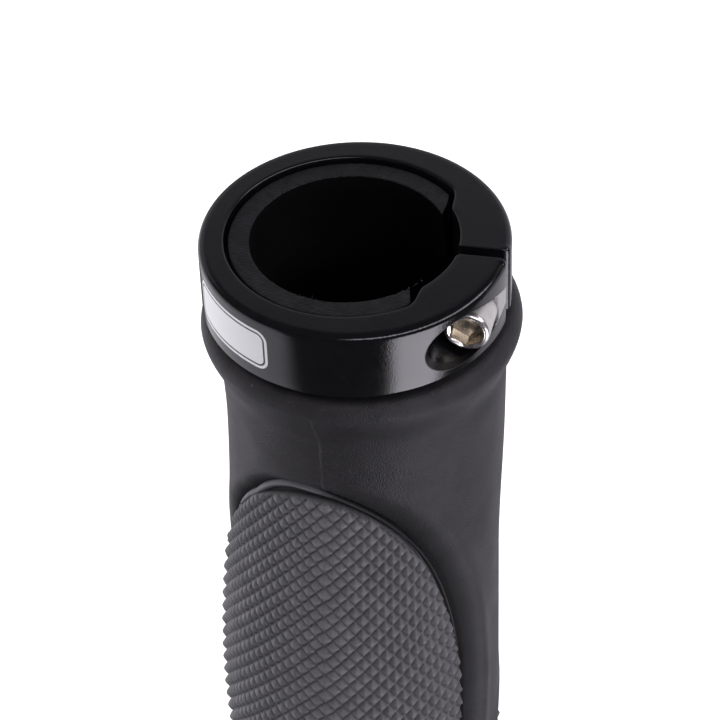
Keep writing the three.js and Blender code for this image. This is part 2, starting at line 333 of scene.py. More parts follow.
class Outline:
    """A closed outline on the unrolled grip: |a/w|^p + |v/l|^p = 1, where a is mm around the grip from the
    outline's centre and v is mm up from its middle. w has its own value on either side, and so has l above
    and below."""

    def __init__(self, pad, kind):
        parts = [mm(getattr(pad, kind + "_" + part)) for part, _ in OUTLINE_PARTS]
        self.centre, self.left, self.right, self.middle, self.above, self.below = parts
        self.power = getattr(pad, kind + "_power")

    def parts(self, across, height):
        a, v = across - self.centre, height - self.middle
        return a, v, np.where(a < 0, self.left, self.right), np.where(v < 0, self.below, self.above)

    def distance(self, across, height):
        """Distance outside the outline, to first order: the excess of the left side's p-th root over 1,
        divided by the length of its gradient."""
        a, v, w, l = self.parts(across, height)
        p = self.power
        u, t = np.abs(a) / w, np.abs(v) / l
        f = np.maximum((u**p + t**p) ** (1 / p), 1e-3)
        slope = f ** (1 - p) * np.hypot(u ** (p - 1) / w, t ** (p - 1) / l)
        return (f - 1) / np.maximum(slope, 1e-5)

    def outward(self, across, height):
        """Unit direction in which the distance grows."""
        a, v, w, l = self.parts(across, height)
        u = np.sign(a) * (np.abs(a) / w) ** (self.power - 1) / w
        t = np.sign(v) * (np.abs(v) / l) ** (self.power - 1) / l
        size = np.maximum(np.hypot(u, t), 1e-9)
        return u / size, t / size

    def moved_to(self, across, height, wanted):
        """Moves points along the outward direction until they lie at the wanted distance."""
        for _ in range(4):
            off = wanted - self.distance(across, height)
            u, t = self.outward(across, height)
            across, height = across + off * u, height + off * t
        return across, height

    def at_turn(self, turn):
        """The outline's point (w c|c|^(2/p-1), l s|s|^(2/p-1)) from its middle, where c = cos t and s = sin
        t."""
        cosine, sine = np.cos(turn), np.sin(turn)
        w = np.where(cosine < 0, self.left, self.right)
        l = np.where(sine < 0, self.below, self.above)
        across = self.centre + w * np.sign(cosine) * np.abs(cosine) ** (2 / self.power)
        return across, self.middle + l * np.sign(sine) * np.abs(sine) ** (2 / self.power)


def lean_at(height):
    """How far the rubber lies off the core's axis at a height, towards LEAN_ANGLE: the sum of LEAN_STEPS,
    in mm."""
    return sum(lean * smooth_step(low, high, height) for lean, low, high in LEAN_STEPS)


class Pad:
    """One pad's place, the outline of its knurl and the rim of the recess around it. across is mm around
    the grip from the pad's angle."""

    def __init__(self, pad):
        self.angle = pad.angle
        self.knurl, self.rim = Outline(pad, "knurl"), Outline(pad, "rim")
        for name in ("rise", "crown", "crown_place", "crown_reach", "side", "slope"):
            setattr(self, name, mm(getattr(pad, name)))

    def away(self, across, height):
        """Distance outside the rim, which keeps RIM_GAP off the knurl's outline."""
        return np.minimum(self.rim.distance(across, height), self.knurl.distance(across, height) - RIM_GAP)

    def swell(self, height):
        """1 where the pad swells most, and (1 - t²)² down to 0 at its ends, t being the way from the
        crown."""
        t = (height - self.crown_place) / self.crown_reach
        return np.maximum(0, 1 - t * t) ** 2

    def valley(self, across, height):
        """Radius of the knurl's grooves."""
        swell = self.swell(height)
        return BODY_RADIUS + self.rise + self.crown * swell + self.side * swell * smooth_step(2, -13, across)

    def in_space(self, across, height, radius):
        angle = self.angle + across / BODY_RADIUS
        lean = lean_at(height)
        x = radius * np.cos(angle) + lean * math.cos(LEAN_ANGLE)
        y = radius * np.sin(angle) + lean * math.sin(LEAN_ANGLE)
        return np.stack([x, y, height + 0 * radius], axis=-1)


KNURL_STEPS = 8  # grid steps along one pyramid
KNURL_POWER = 1.5  # how full a pyramid's faces are
KNURL_BLEND = 0.12  # how far a pyramid's ridges are rounded
LOWEST_TIP = 0.90  # the lowest pyramid's share of the full height
EDGE_SNAP = 0.09  # a grid point nearer to the outline than this is pulled towards it
RIM_GAP = 0.15  # the least way from the knurl's outline to the rim
SEAM_SPREAD = 0.3  # how far the seam pushes the pyramids apart
UNDER_RINGS = (0.72, 0.42, 0.15)  # the size of each ring on a pad's underside


def knurl_tips(a, b, reach):
    """The knurl's height from 0 to 1 at each grid point: 1 - (1 - m)^KNURL_POWER, where m is a rounded
    smaller one of the ways from the nearest grooves, 0 to 1. Each pyramid is a little lower than full, by a
    seeded draw."""
    x, y = 2 * np.abs(a - np.round(a)), 2 * np.abs(b - np.round(b))
    tip = 1 - (1 - np.clip(soft_smaller(x, y, KNURL_BLEND), 0, 1)) ** KNURL_POWER
    share = np.random.default_rng(5).uniform(LOWEST_TIP, 1.0, size=(4 * reach, 4 * reach))
    return tip * share[np.floor(a).astype(int) + 2 * reach, np.floor(b).astype(int) + 2 * reach]


def pad_underside(pad, quads, across, height):
    """The underside of a sheet whose open rim lies at PAD_FOOT: rings that shrink from the rim to one
    point."""
    count = len(across)
    edges = np.concatenate([quads[:, [k, (k + 1) % 4]] for k in range(4)])
    code, back = edges[:, 0] * count + edges[:, 1], edges[:, 1] * count + edges[:, 0]
    rim = edges[~np.isin(code, back)]
    rim_points = np.unique(rim)
    place = np.zeros(count, int)
    place[rim_points] = np.arange(len(rim_points))

    middle = pad.knurl.middle
    foot = np.full(len(rim_points), PAD_FOOT)
    points, faces, inner, start = [], [], rim, count
    for share in UNDER_RINGS:
        ring_height = middle + (height[rim_points] - middle) * share
        points.append(pad.in_space(across[rim_points] * share, ring_height, foot))
        outer, inner = inner, place[rim] + start
        faces.append(np.stack([outer[:, 1], outer[:, 0], inner[:, 0], inner[:, 1]], axis=1))
        start += len(rim_points)
    points.append(pad.in_space(np.zeros(1), np.full(1, middle), np.full(1, PAD_FOOT)))
    faces.append(np.stack([inner[:, 1], inner[:, 0], np.full(len(inner), start)], axis=1))
    return points, faces


def knurled_shell(pad, settings):
    """A pad's knurled body. Its grid runs along the two sets of grooves: a point is numbered (a, b), and lies
    at across = width (a + b) / 2, height = middle + length (a - b) / 2. A pyramid stands between whole
    numbers of a and b. The sheet is cut on the outline, and closed by a wall and an underside. tips is the
    knurl's height, and -1 on the wall."""
    width, step_length = mm(settings.knurl_width), mm(settings.knurl_length)
    outline = pad.knurl
    reach = max(outline.left, outline.right) / width + max(outline.above, outline.below) / step_length
    reach = math.ceil(reach) + 2
    steps = np.arange(-reach * KNURL_STEPS, reach * KNURL_STEPS + 1) / KNURL_STEPS
    a, b = np.meshgrid(steps, steps, indexing="ij")
    across, height = width * (a + b) / 2, outline.middle + step_length * (a - b) / 2
    seam = seam_place(pad, width)
    across = across + SEAM_SPREAD / 2 * np.tanh((across - seam) / 0.25)

    distance = outline.distance(across, height)
    inside = np.stack(grid_corners(distance <= 0))
    number = np.stack(grid_corners(np.arange(a.size).reshape(a.shape)), axis=-1)
    quads = number[inside.any(axis=0)]
    used = np.unique(quads)
    renumber = np.zeros(a.size, int)
    renumber[used] = np.arange(len(used))
    quads = renumber[quads]
    values = (across, height, distance, knurl_tips(a, b, reach))
    across, height, distance, tip = (value.ravel()[used] for value in values)

    outside = distance > 0
    moved = distance > -EDGE_SNAP
    on_edge = outline.moved_to(across, height, np.where(outside, 0.0, -0.04))
    across, height = np.where(moved, on_edge[0], across), np.where(moved, on_edge[1], height)
    ridge = seam_ridge(across - seam) * mm(settings.seam_height)
    radius = pad.valley(across, height) + mm(settings.knurl_height) * tip + ridge
    # tip -1 on the wall, where the pad's material paints shade
    radius, tip = np.where(outside, PAD_FOOT, radius), np.where(outside, -1.0, tip)

    under_points, under_faces = pad_underside(pad, quads, across, height)
    points = np.concatenate([pad.in_space(across, height, radius)] + under_points)
    tips = np.concatenate([tip, np.zeros(len(points) - len(tip))])
    return points, [quads] + under_faces, tips


def seam_place(pad, width):
    """Across place of the moulding seam on a pad, moved to the nearest column of pyramids. It is far off the
    pad if the seam misses it."""
    turns = [math.remainder(math.radians(seam) - pad.angle, 2 * math.pi) for seam in SEAM_ANGLES]
    return round(min(turns, key=abs) * BODY_RADIUS / (width / 2)) * width / 2


def soft_smaller(x, y, blend):
    """The smaller of two numbers, rounded where they are closer than the blend."""
    h = np.maximum(blend - np.abs(x - y), 0) / blend
    return np.minimum(x, y) - h * h * blend / 4


def seam_ridge(off):
    """Height of the moulding seam, from 0 to 1, at a distance from its middle: a bell."""
    return np.exp(-((off / SEAM_WIDTH) ** 2))


# Each row of the bead: its way from the rim in bead widths, its radius, and its tip value, which paints shade
# below 0
BEAD = (
    (-0.62, 14.90, -1.0),
    (-0.47, 15.00, -0.8),
    (-0.28, 15.36, 0.4),
    (-0.10, 15.54, 0.7),
    (0.08, 15.56, 0.7),
    (0.24, 15.47, 0.7),
    (0.38, 15.18, 0.3),
    (0.46, 14.85, -0.8),
    (0.38, 14.65, -1.0),
)
BEAD_WIDTH = 1.20  # a bead width in mm, on the broad side of the seam
BEAD_NARROWER = 0.70  # how much narrower it is on the fine side
BEAD_LOWER = 0.14  # how much lower its top is there, the rows past BEAD_TOP
BEAD_TOP = 15.2
BEAD_SHADE = 16  # how fast its tip value falls with that, which paints shade on the fine side


def border_shell(pad):
    """The smooth border of a pad: a floor from under the knurl's edge out to the rim, and the BEAD section
    on the rim. The bead is broad on one side of the seam and fine on the other, by a smooth step."""
    turn = np.linspace(0, 2 * math.pi, 1000, endpoint=False)
    knurl = pad.knurl.at_turn(turn)
    rim = pad.rim.at_turn(turn)
    near = np.maximum(0, RIM_GAP - pad.knurl.distance(*rim))
    push = pad.knurl.outward(*rim)
    rim = rim[0] + near * push[0], rim[1] + near * push[1]
    out = pad.rim.outward(*rim)
    fine = smooth_step(-1.5, 3.5, rim[0])
    width, drop = BEAD_WIDTH - BEAD_NARROWER * fine, BEAD_LOWER * fine
    under = pad.knurl.moved_to(*knurl, -0.35)
    edge = pad.knurl.moved_to(*knurl, 0.05)
    # Tip -1 on the channel's floor, where the pad's material paints shade
    rows = [(*under, 14.65, -1.0), (*under, 14.92, -1.0), (*edge, 14.92, -1.0)]
    start = rim[0] + BEAD[0][0] * width * out[0], rim[1] + BEAD[0][0] * width * out[1]
    rows.append(((edge[0] + start[0]) / 2, (edge[1] + start[1]) / 2, 14.90, -1.0))
    for away, radius, tip in BEAD:
        across, height = rim[0] + away * width * out[0], rim[1] + away * width * out[1]
        rows.append((across, height, radius - drop * (radius > BEAD_TOP), tip - BEAD_SHADE * drop))
    points = [pad.in_space(across, height, radius + 0 * across) for across, height, radius, _ in rows]
    tips = np.concatenate([tip + 0 * turn for _, _, _, tip in rows])
    return np.stack(points).reshape(-1, 3), [grid_quads(len(rows), len(turn), closed=True)], tips


# Body


RECESS_STEP = (0.35, 0.80)  # ways from the rim at which a recess's steep step starts and ends
SLOPE_START = 0.45  # way from the rim at which its broad slope starts
STEP_SHARE = 0.5  # the steep step's share of the recess's depth
BROADER = (1.7, 1.0)  # how much broader the slope is to the right of a seam, and beside a pad
LIP_WIDTH = 1.3
CROWN_LIP = 0.30 / 1.8  # the lip's growth with a pad's crown
BODY_ROWS = 232
BODY_COLUMNS = 380
FLARE = (8.6, 2.2)  # ways below the body's top at which the flange starts to flare and is full
FLANGE_TAIL = (0.12, 9.0, 3.5)  # height, way below the top and spread of the slight swelling under the flare


def turns_off(angle, middle):
    """The way in mm around the body from a middle to an angle, the shorter way round."""
    return (np.remainder(angle - middle + math.pi, 2 * math.pi) - math.pi) * BODY_RADIUS


def body_relief(angle, height, settings, pads):
    """How far the outer skin lies over the plain turned body, in mm. Outside each pad's rim the skin rises
    from the recess floor by a steep step and then a broad slope, which is broader beside the pad than over
    it, and ends in a low bell of a lip."""
    relief = np.zeros(np.broadcast(angle, height).shape)
    depth = BODY_RADIUS - RECESS_RADIUS
    for pad in pads:
        across = turns_off(angle, pad.angle)
        away = pad.away(across, height)
        beside = pad.rim.outward(across, height)[0] ** 2
        broad = pad.slope + BROADER[0] * smooth_step(-1.5, 4.0, across) + BROADER[1] * beside
        step = STEP_SHARE * depth * (1 - smooth_step(*RECESS_STEP, away))
        slope = (1 - STEP_SHARE) * depth * (1 - smooth_step(0.0, 1.0, (away - SLOPE_START) / broad))
        lip = mm(settings.lip_height) + CROWN_LIP * pad.crown * pad.swell(height)
        relief += lip * np.exp(-(((away - broad - 0.5) / LIP_WIDTH) ** 2)) - step - slope
    for seam in SEAM_ANGLES:
        relief += mm(settings.seam_height) * seam_ridge(turns_off(angle, math.radians(seam)))
    return relief


def body_shell(settings, pads):
    """The rubber body, turned from a profile: a rounded end, the outer skin, the flange with an elliptic
    edge, and the bore. The outer skin also takes body_relief, and everything outside the bore takes
    lean_at. Rows and columns are packed where a recess, the flange or the seam needs them. The last thing
    returned says how deep a point lies in a recess, and is 2 in the bore: the body's material paints
    shade by it, nearly black in the bore."""
    rise = mm(settings.flange_rise)
    pad_ends = [pad.rim.middle + side for pad in pads for side in (pad.rim.above + 1.5, -pad.rim.below - 1.5)]
    top = BODY_TOP - 0.6
    heights = packed(END_ROUND, top - FLANGE_EDGE[1], BODY_ROWS, pad_ends + [BODY_TOP - 5], 6.0, 1.6)
    flare = smooth_step(BODY_TOP - FLARE[0], BODY_TOP - FLARE[1], heights)
    tail = FLANGE_TAIL[0] * np.exp(-(((heights - (BODY_TOP - FLANGE_TAIL[1])) / FLANGE_TAIL[2]) ** 2))
    outer_radius = BODY_RADIUS + rise * flare + tail * (1 - flare)
    quarter = np.radians(np.linspace(-90, 0, 9)[:-1])
    end_radius = BODY_RADIUS - END_ROUND + END_ROUND * np.cos(quarter)
    end_height = END_ROUND + END_ROUND * np.sin(quarter)
    turn = np.radians(np.linspace(0, 90, 12)[1:])
    edge_radius = BODY_RADIUS + rise - FLANGE_EDGE[0] * (1 - np.cos(turn))
    edge_height = top - FLANGE_EDGE[1] * (1 - np.sin(turn))
    bore_radius = np.array([RUBBER_BORE, RUBBER_BORE, RUBBER_BORE, 8.0])
    bore_height = np.array([top, top - 10, END_THICKNESS, END_THICKNESS])
    radius = np.concatenate([[6.0], end_radius, outer_radius, edge_radius, bore_radius])
    height = np.concatenate([[0.0], end_height, heights, edge_height, bore_height])

    angle = np.radians(packed(-180, 180, BODY_COLUMNS, SEAM_ANGLES, 0.9, 6.0)[:-1])
    relief = body_relief(angle[None, :], height[:, None], settings, pads)
    outer = np.zeros(len(radius))
    first = 1 + len(end_radius)
    outer[first : first + len(outer_radius)] = 1
    skin = radius[:, None] + relief * outer[:, None]
    lean = lean_at(height) * np.clip((radius - RUBBER_BORE) / 2, 0, 1)
    x = skin * np.cos(angle) + (lean * math.cos(LEAN_ANGLE))[:, None]
    y = skin * np.sin(angle) + (lean * math.sin(LEAN_ANGLE))[:, None]
    z = np.broadcast_to(height[:, None], x.shape)
    points = np.stack([x, y, z], axis=-1).reshape(-1, 3)
    rows, columns = x.shape
    ends = np.array([[0, 0, 0], [0, 0, END_THICKNESS]], float)
    last = (rows - 1) * columns + np.arange(columns)
    faces = [grid_quads(rows, columns)]
    first_cap = fan(np.arange(columns), len(points))[:, ::-1]
    faces.append(np.concatenate([first_cap, fan(last, len(points) + 1)]))
    # How deep each point lies in a recess, and 2 in the bore: the body's material paints shade by it
    recess_shade = np.clip(-1.7 * relief / (BODY_RADIUS - RECESS_RADIUS), 0, 1) * outer[:, None]
    recess_shade[-3:] = 2
    return np.concatenate([points, ends]), faces, np.concatenate([recess_shade.ravel(), [0, 2]])


# Core


# Where the saw frayed the core's inner edge: the angle in degrees, its spread, and how much
FRAYED = ((262, 12, 1.0), (318, 9, 0.7))


def core_shells(settings):
    """The core: a full tube in the rubber, and above it an open C that leans with its height to
    CORE_END_CENTRE. Its cut ends slope: a point of the C is a ruled mix between its inner arc and its outer
    arc, each with its own end angles. The sawn end has fine scratches and a ragged inner edge, from smooth
    noise."""
    turns = np.linspace(0, 2 * math.pi, 144, endpoint=False)
    radius = np.array([BORE_RADIUS, CORE_RADIUS, CORE_RADIUS, BORE_RADIUS])[:, None]
    height = np.array([CORE_BOTTOM, CORE_BOTTOM, BODY_TOP, BODY_TOP])[:, None] + 0 * turns
    tube = np.stack([radius * np.cos(turns), radius * np.sin(turns), height], axis=-1)
    tube_shell = (tube.reshape(-1, 3), [grid_quads(4, len(turns), closed=True)])

    along = np.linspace(0, 1, 1300)
    base = BODY_TOP - 0.5
    edge = 0.12
    ring = [(0.0, base)] + [(0.0, z) for z in np.linspace(base + 1, CORE_TOP - edge, 5)]
    ring += [(0.02, CORE_TOP - 0.03)] + [(share, CORE_TOP) for share in np.linspace(0.06, 0.94, 13)]
    ring += [(0.98, CORE_TOP - 0.04), (1.0, CORE_TOP - edge), (1.0, base)]
    share = np.array([r[0] for r in ring])[:, None]
    height = np.array([r[1] for r in ring])[:, None] + 0 * along
    first = np.radians(CORE_BACK_ENDS[0] * (1 - share) + CORE_BACK_ENDS[1] * share)
    last = np.radians(CORE_FRONT_ENDS[0] * (1 - share) + CORE_FRONT_ENDS[1] * share)
    angle = first + (2 * math.pi - first - last) * along
    radius = CORE_END_BORE + (CORE_END_RADIUS - CORE_END_BORE) * share + 0 * along
    flat = np.stack([radius * np.cos(angle), radius * np.sin(angle), height], axis=-1)
    shape = flat.shape[:2]
    samples = flat.reshape(-1, 3)
    top = (height > CORE_TOP - 0.2) * 1.0
    rough = (0.010 * waves(samples, 0.35, 3) + 0.012 * waves(samples * [1, 3, 1], 1.1, 4)).reshape(shape)
    degrees = np.degrees(angle)
    front = sum(much * np.exp(-(((degrees - at) / spread) ** 2)) for at, spread, much in FRAYED)
    ragged = 0.10 * np.maximum(0, waves(samples * [1, 1, 0], 0.7, 8)).reshape(shape) * np.exp(-share / 0.05)
    height = height + top * (rough * (1 + front) - ragged * (0.1 + front))
    radius = radius + top * ragged * (0.1 + 0.9 * front)
    offset = (np.array(CORE_END_CENTRE)[:, None, None]) * np.clip((height - base) / (CORE_TOP - base), 0, 1)
    x, y = radius * np.cos(angle) + offset[0], radius * np.sin(angle) + offset[1]
    points = np.stack([x, y, height], axis=-1)
    rows, columns = shape
    number = np.arange(rows * columns).reshape(rows, columns)
    middle_first = points[:, 0].mean(axis=0)
    middle_last = points[:, -1].mean(axis=0)
    faces = [grid_quads(rows, columns, around=False, closed=True)]
    caps = [fan(number[:, 0], rows * columns)[:, ::-1], fan(number[:, -1], rows * columns + 1)]
    faces.append(np.concatenate(caps))
    c_shell = (np.concatenate([points.reshape(-1, 3), [middle_first, middle_last]]), faces)
    return [tube_shell, c_shell] + burrs(settings)


def burrs(settings):
    """Slivers left by the saw on the core's inner edge: each is a thin bent spike, a triangle section that
    shrinks along a short curved line to a point."""
    draw = np.random.default_rng(21)
    shells = []
    for k in range(30):
        near_front = k < 20
        degrees = draw.normal(260, 7) if near_front else draw.normal(318, 9)
        long = mm(settings.burr_height) * draw.uniform(0.12, 0.4)
        if k == 0:
            degrees, long = 263.0, mm(settings.burr_height)
        angle = math.radians(degrees)
        inward = np.array([-math.cos(angle), -math.sin(angle), 0])
        side = np.array([-math.sin(angle), math.cos(angle), 0])
        foot = -inward * (CORE_END_BORE + 0.12) + [*CORE_END_CENTRE, CORE_TOP - 0.08]
        lean = draw.uniform(-0.9, 0.9) * (k > 0)
        inwards = draw.uniform(0.1, 0.9)
        way = np.linspace(0, 1, 6)[:, None]
        bend = np.array([0, 0, 1.0]) * (1 - 0.3 * way) + inward * inwards * way + side * lean * way
        line = foot + way * long * bend
        thick = 0.075 * (1 - way) + 0.006
        wide = 1.4 * thick * side
        section = np.stack([line + wide, line - wide, line + thick * inward], axis=1)
        points = np.concatenate([section.reshape(-1, 3), line[-1:] + [[0, 0, 0.02]], line[:1]])
        caps = [fan(np.arange(15, 18), 18), fan(np.arange(3), 19)[:, ::-1]]
        faces = [grid_quads(6, 3), np.concatenate(caps)]
        shells.append((points, faces))
    return shells


# Collar


COLLAR_POINTS = 760  # points along the inner and along the outer edge
JAW_POINTS = 10  # points on the jaw's rounded corner
CORNER_POINTS = 12  # points on each rounded outer corner of the split


def round_corner(before, corner, after, count):
    """A quadratic curve from one point to another, pulled towards the corner between them."""
    t = np.linspace(0, 1, count)[:, None]
    return (1 - t) ** 2 * np.array(before) + 2 * t * (1 - t) * np.array(corner) + t**2 * np.array(after)


def collar_curves(count):
    """The collar's inner and outer edge seen from above, as count points each, from the split's +Y side
    round to its -Y side. The inner one is the jaws' arc, an S-shaped step, and the off-centre relief arc,
    all turned by INNER_TURN. The outer one is the collar's circle. Both leave the split by rounded corners,
    apart from the inner one at +Y. Near the split, every point is moved along Y by a bell of its y, so the
    split lies a little off the axis."""
    first = math.degrees(math.asin(SPLIT_HALF / JAW_RADIUS))
    last = 360 - math.degrees(math.asin((SPLIT_HALF + JAW_CORNER) / JAW_RADIUS))
    inner_angle = np.linspace(first, last, count + 1 - JAW_POINTS)
    fold = np.abs((inner_angle - INNER_TURN + 180) % 360 - 180)
    turn = np.radians(fold)
    relief = RELIEF_CENTRE * np.cos(turn) + np.sqrt(RELIEF_RADIUS**2 - (RELIEF_CENTRE * np.sin(turn)) ** 2)
    step = smooth_step(JAW_ANGLE, STEP_ANGLE, fold)
    inner_radius = JAW_RADIUS * (1 - step) + relief * step
    turn = np.radians(inner_angle)
    inner = np.stack([inner_radius * np.cos(turn), inner_radius * np.sin(turn)], axis=1)
    tip = math.sqrt(JAW_RADIUS**2 - SPLIT_HALF**2)
    jaw = round_corner(inner[-1], (tip, -SPLIT_HALF), (tip + JAW_CORNER, -SPLIT_HALF), JAW_POINTS)
    inner = np.concatenate([inner, jaw[1:]])

    tip = math.sqrt(COLLAR_RADIUS**2 - SPLIT_HALF**2)
    turn_in = math.asin((SPLIT_HALF + SPLIT_CORNER) / COLLAR_RADIUS)
    end = COLLAR_RADIUS * math.cos(turn_in), COLLAR_RADIUS * math.sin(turn_in)
    corner = round_corner((tip - SPLIT_CORNER, SPLIT_HALF), (tip, SPLIT_HALF), end, CORNER_POINTS)
    arc = np.linspace(turn_in, 2 * math.pi - turn_in, count + 2 - 2 * CORNER_POINTS)[1:-1]
    circle = COLLAR_RADIUS * np.stack([np.cos(arc), np.sin(arc)], axis=1)
    outer = np.concatenate([corner, circle, (corner * [1, -1])[::-1]])
    for curve in (inner, outer):
        near_split = np.exp(-((curve[:, 1] / 2.5) ** 2)) * (curve[:, 0] > 0)
        curve[:, 1] += (0.05 * curve[:, 0] - 0.9) * near_split
    return inner, outer


def collar_shell(settings):
    """The ring before its pocket is cut: the closed outline, carried up through rows that round the two
    edges. A row at a turn b of the rounding is moved in by e (1 - cos b), and up or down by e sin b, where
    e is the edge radius of that place: broad outside, fine inside and sharp at the split. A move in follows
    the outline's mitred normal. The flat faces are ruled between the inner and the outer edge."""
    count = COLLAR_POINTS
    inner, outer = collar_curves(count)
    steps = np.linspace(0, 1, 9)[1:-1, None]
    face_a = inner[0] * (1 - steps) + outer[0] * steps
    face_b = outer[-1] * (1 - steps) + inner[-1] * steps
    loop = np.concatenate([inner[:1], face_a, outer, face_b, inner[:0:-1]])
    ahead = np.roll(loop, -1, axis=0) - loop
    ahead /= np.linalg.norm(ahead, axis=1)[:, None]
    behind = np.roll(ahead, 1, axis=0)
    normal_a = np.stack([ahead[:, 1], -ahead[:, 0]], axis=1)
    normal_b = np.stack([behind[:, 1], -behind[:, 0]], axis=1)
    mitre = (normal_a + normal_b) / (1 + (normal_a * normal_b).sum(axis=1))[:, None]

    broad, fine, sharp = mm(settings.collar_edge), mm(settings.collar_inner_edge), 0.12
    outer_edge = np.full(count, broad)
    near = CORNER_POINTS + 2
    outer_edge[:near] = np.linspace(sharp, broad, near)
    outer_edge[-near:] = outer_edge[near - 1 :: -1]
    inner_edge = np.full(count - 1, fine)
    inner_edge[-6:] = np.linspace(fine, sharp, 6)
    inner_edge[:3] = sharp
    face_edge = np.full(len(steps), sharp)
    edge = np.concatenate([[sharp], face_edge, outer_edge, face_edge, inner_edge])

    bend = np.radians(np.linspace(0, 90, 11))[:, None]
    low_edge = 0.5 * edge
    moved = [low_edge * (1 - np.cos(bend[::-1])), np.zeros((5, len(loop))), edge * (1 - np.cos(bend))]
    middle = np.linspace(COLLAR_BOTTOM + broad, GRIP_LENGTH - broad, 7)[1:-1, None] + 0 * edge
    low = COLLAR_BOTTOM + low_edge * (1 - np.sin(bend[::-1]))
    high = GRIP_LENGTH - edge * (1 - np.sin(bend))
    flat = loop[None] - mitre[None] * np.concatenate(moved)[:, :, None]
    points = np.concatenate([flat, np.concatenate([low, middle, high])[:, :, None]], axis=2)
    rows, columns = flat.shape[:2]
    faces = [grid_quads(rows, columns)]
    points = points.reshape(-1, 3)

    face_steps = len(steps)
    inner_number = np.concatenate([[0], np.arange(columns - 1, columns - count, -1)])
    outer_number = np.arange(1 + face_steps, 1 + face_steps + count)
    first_face = np.arange(1, 1 + face_steps)
    last_face = np.arange(1 + face_steps + count, 1 + 2 * face_steps + count)[::-1]
    for row, flip in ((0, True), (rows - 1, False)):
        base = row * columns
        start = len(points)
        middle_share = np.linspace(0, 1, face_steps + 2)[1:-1, None, None]
        ends_in, ends_out = points[base + inner_number], points[base + outer_number]
        grid = ends_in[None, 1:-1] * (1 - middle_share) + ends_out[None, 1:-1] * middle_share
        points = np.concatenate([points, grid.reshape(-1, 3)])
        number = np.zeros((face_steps + 2, count), int)
        number[0], number[-1] = base + inner_number, base + outer_number
        number[1:-1, 0], number[1:-1, -1] = base + first_face, base + last_face
        number[1:-1, 1:-1] = start + np.arange(face_steps * (count - 2)).reshape(face_steps, count - 2)
        quads = np.stack(grid_corners(number), axis=-1).reshape(-1, 4)
        faces.append(quads[:, ::-1] if flip else quads)
    return points, faces


def bar_along_y(centre, radius, low, high, sides):
    """A closed round bar along Y from y = low to y = high, with its axis at the given x and z."""
    turn = np.linspace(0, 2 * math.pi, sides, endpoint=False)
    rows = []
    for y in (low, high):
        x, z = centre[0] + radius * np.cos(turn), centre[1] + radius * np.sin(turn)
        rows.append(np.stack([x, np.full(sides, y), z], axis=-1))
    ends = np.array([[centre[0], low, centre[1]], [centre[0], high, centre[1]]])
    faces = [grid_quads(2, sides)]
    caps = [fan(np.arange(sides), 2 * sides)[:, ::-1], fan(sides + np.arange(sides), 2 * sides + 1)]
    faces.append(np.concatenate(caps))
    return np.concatenate(rows + [ends]), faces


def cut_away(mesh, cutters, name):
    """The mesh with each cutter's closed surface subtracted, as a new mesh."""
    work = bpy.data.objects.new(name + "_work", mesh)
    bpy.context.scene.collection.objects.link(work)
    helpers = []
    for shell in cutters:
        points, faces = joined([shell])
        helper = bpy.data.objects.new(name + "_cutter", make_mesh(name + "_cutter", points, faces))
        bpy.context.scene.collection.objects.link(helper)
        cut = work.modifiers.new("cut", "BOOLEAN")
        cut.operation = "DIFFERENCE"
        cut.solver = "EXACT"
        cut.object = helper
        helpers.append(helper)
    graph = bpy.context.evaluated_depsgraph_get()
    graph.update()
    made = bpy.data.meshes.new_from_object(work.evaluated_get(graph))
    made.name = name
    for helper in [work] + helpers:
        bpy.data.objects.remove(helper)
    return made


# Screw


